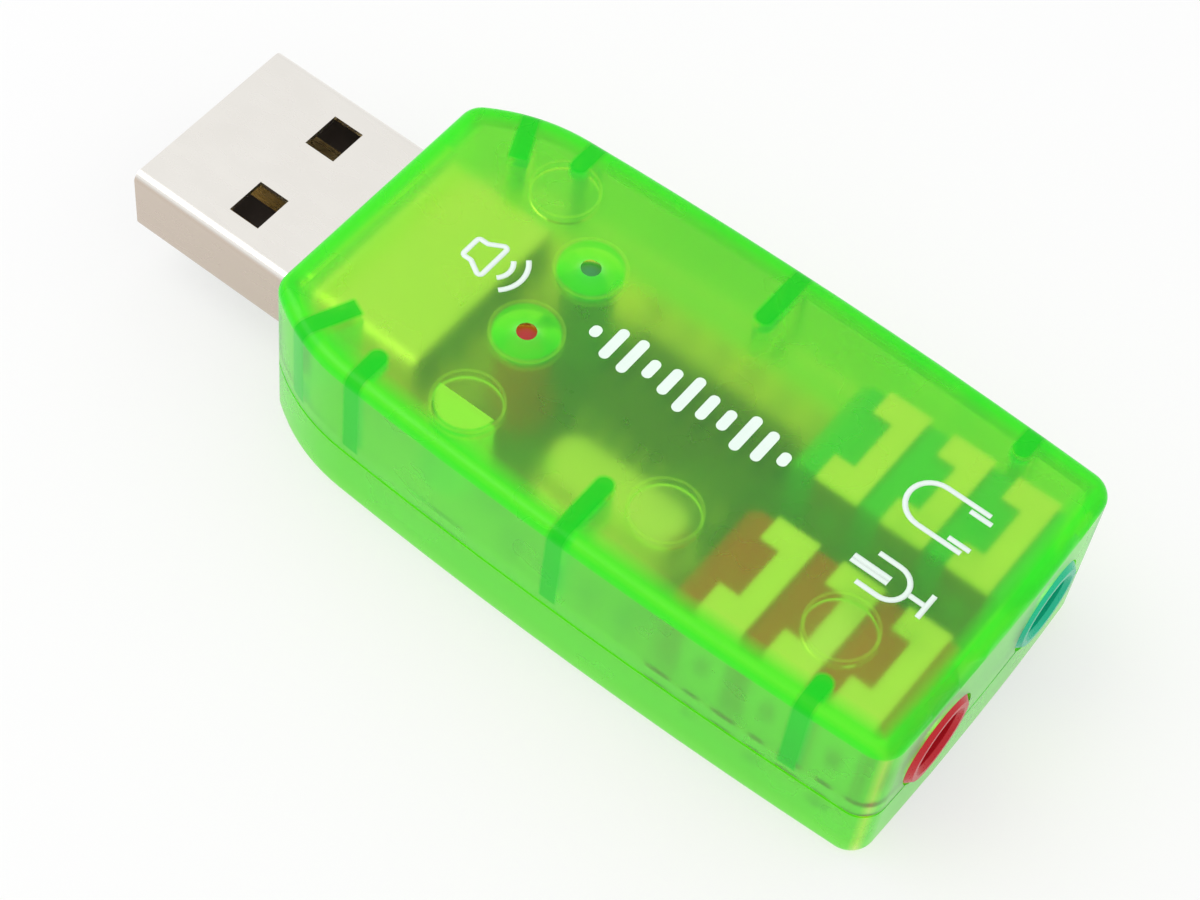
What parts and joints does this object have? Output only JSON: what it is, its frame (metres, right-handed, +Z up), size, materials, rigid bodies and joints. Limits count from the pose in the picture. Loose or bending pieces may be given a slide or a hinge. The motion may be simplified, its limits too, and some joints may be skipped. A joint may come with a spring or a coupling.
{
  "type": "usb audio adapter",
  "caption": "Pocket USB sound adapter in a clear green plastic case, with a USB plug at one end and round microphone and headphone sockets at the other.",
  "frame": {"origin": "middle of the underside of the whole adapter, plug included, at the level it lies on", "axes": "+X from the USB plug's tip towards the two sockets, +Y across the case towards the headphone socket, +Z up through the lid"},
  "size_m": [0.0526, 0.0216, 0.011],
  "materials": {
    "clear_green": "clear gloss",
    "plug_steel": "satin plated",
    "dark_plastic": "moulded",
    "gold_contact": "plated",
    "board_green": "varnished",
    "mic_red": "moulded",
    "headphone_teal": "moulded",
    "jack_contact": "tinned",
    "chip_black": "moulded",
    "crystal_steel": "drawn",
    "lamp_red": "clear",
    "lamp_green": "clear",
    "capacitor_tan": "ceramic",
    "resistor_black": "ceramic"
  },
  "bodies": {
    "root": {"audio_chip": "chip_black", "bottom_cover": "clear_green", "capacitor_1": "capacitor_tan", "capacitor_2": "capacitor_tan", "capacitor_3": "capacitor_tan", "capacitor_4": "capacitor_tan", "capacitor_5": "capacitor_tan", "capacitor_6": "capacitor_tan", "circuit_board": "board_green", "crystal_can": "crystal_steel", "green_lamp": "lamp_green", "headphone_jack_contact_1": "jack_contact", "headphone_jack_contact_2": "jack_contact", "headphone_jack_contact_3": "jack_contact", "headphone_jack_housing": "headphone_teal", "mic_jack_contact_1": "jack_contact", "mic_jack_contact_2": "jack_contact", "mic_jack_contact_3": "jack_contact", "mic_jack_housing": "mic_red", "red_lamp": "lamp_red", "resistor_1": "resistor_black", "resistor_2": "resistor_black", "resistor_3": "resistor_black", "resistor_4": "resistor_black", "top_cover": "clear_green", "usb_contact_1": "gold_contact", "usb_contact_2": "gold_contact", "usb_contact_3": "gold_contact", "usb_contact_4": "gold_contact", "usb_shell": "plug_steel", "usb_tongue": "dark_plastic"}
  },
  "joints": []
}
